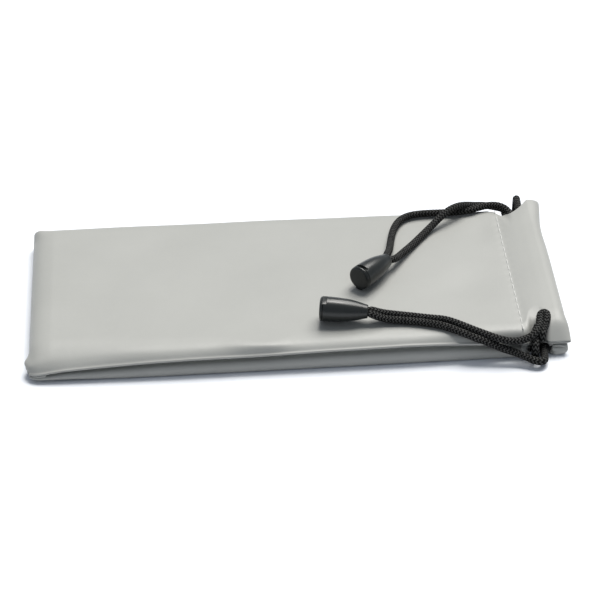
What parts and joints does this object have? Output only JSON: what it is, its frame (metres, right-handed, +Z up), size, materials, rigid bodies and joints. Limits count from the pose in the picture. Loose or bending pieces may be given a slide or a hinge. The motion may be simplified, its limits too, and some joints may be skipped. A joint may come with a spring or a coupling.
{
  "type": "eyeglasses pouch",
  "caption": "Soft flat leather pouch for eyeglasses with a drawstring mouth: braided drawcords run through its hem and end in bell cord ends with snap lids.",
  "frame": {"origin": "middle of the underside of the pouch, cords left out", "axes": "+X from the closed end to the mouth, +Y across the pouch, +Z up from the surface it lies on"},
  "size_m": [0.18, 0.0975, 0.0191],
  "materials": {
    "panel_leather": "smooth light grey imitation leather, fine grain, low sheen",
    "stitch_thread": "light grey polyester thread",
    "drawcord": "black braided polyester cord",
    "bell_plastic": "black moulded plastic, satin"
  },
  "bodies": {
    "root": {"front_panel": "panel_leather", "back_panel": "panel_leather", "front_hem_thread": "stitch_thread", "back_hem_thread": "stitch_thread", "near_seam_thread": "stitch_thread", "far_seam_thread": "stitch_thread", "end_seam_thread": "stitch_thread"},
    "near_drawcord": {"near_drawcord_knot": "drawcord", "near_drawcord_loop": "drawcord", "near_drawcord_front_tail": "drawcord", "near_drawcord_back_tail": "drawcord"},
    "near_bell": {"near_bell": "bell_plastic"},
    "near_lid": {"near_bell_lid": "bell_plastic"},
    "far_drawcord": {"far_drawcord_knot": "drawcord", "far_drawcord_loop": "drawcord", "far_drawcord_front_tail": "drawcord", "far_drawcord_back_tail": "drawcord"},
    "far_bell": {"far_bell": "bell_plastic"},
    "far_lid": {"far_bell_lid": "bell_plastic"}
  },
  "joints": [
    {"name": "near_drawcord_pull", "type": "slide", "parent": "root", "child": "near_drawcord", "axis": [0, -1, 0], "range_m": [0, 0.0025]},
    {"name": "near_bell_slide", "type": "slide", "parent": "near_drawcord", "child": "near_bell", "axis": [0.9866, -0.1602, -0.032], "range_m": [0, 0.0014]},
    {"name": "near_lid_hinge", "type": "hinge", "parent": "near_bell", "child": "near_lid", "pos_m": [0.00743, -0.02803, 0.01056], "axis": [-0.1602, -0.9871, 0], "range_deg": [0, 85]},
    {"name": "far_drawcord_pull", "type": "slide", "parent": "root", "child": "far_drawcord", "axis": [0, 1, 0], "range_m": [0, 0.002]},
    {"name": "far_bell_slide", "type": "slide", "parent": "far_drawcord", "child": "far_bell", "axis": [0.6697, 0.7419, -0.0328], "range_m": [0, 0.0014]},
    {"name": "far_lid_hinge", "type": "hinge", "parent": "far_bell", "child": "far_lid", "pos_m": [0.02171, -0.01157, 0.01086], "axis": [0.7423, -0.6701, 0], "range_deg": [0, 85]}
  ]
}
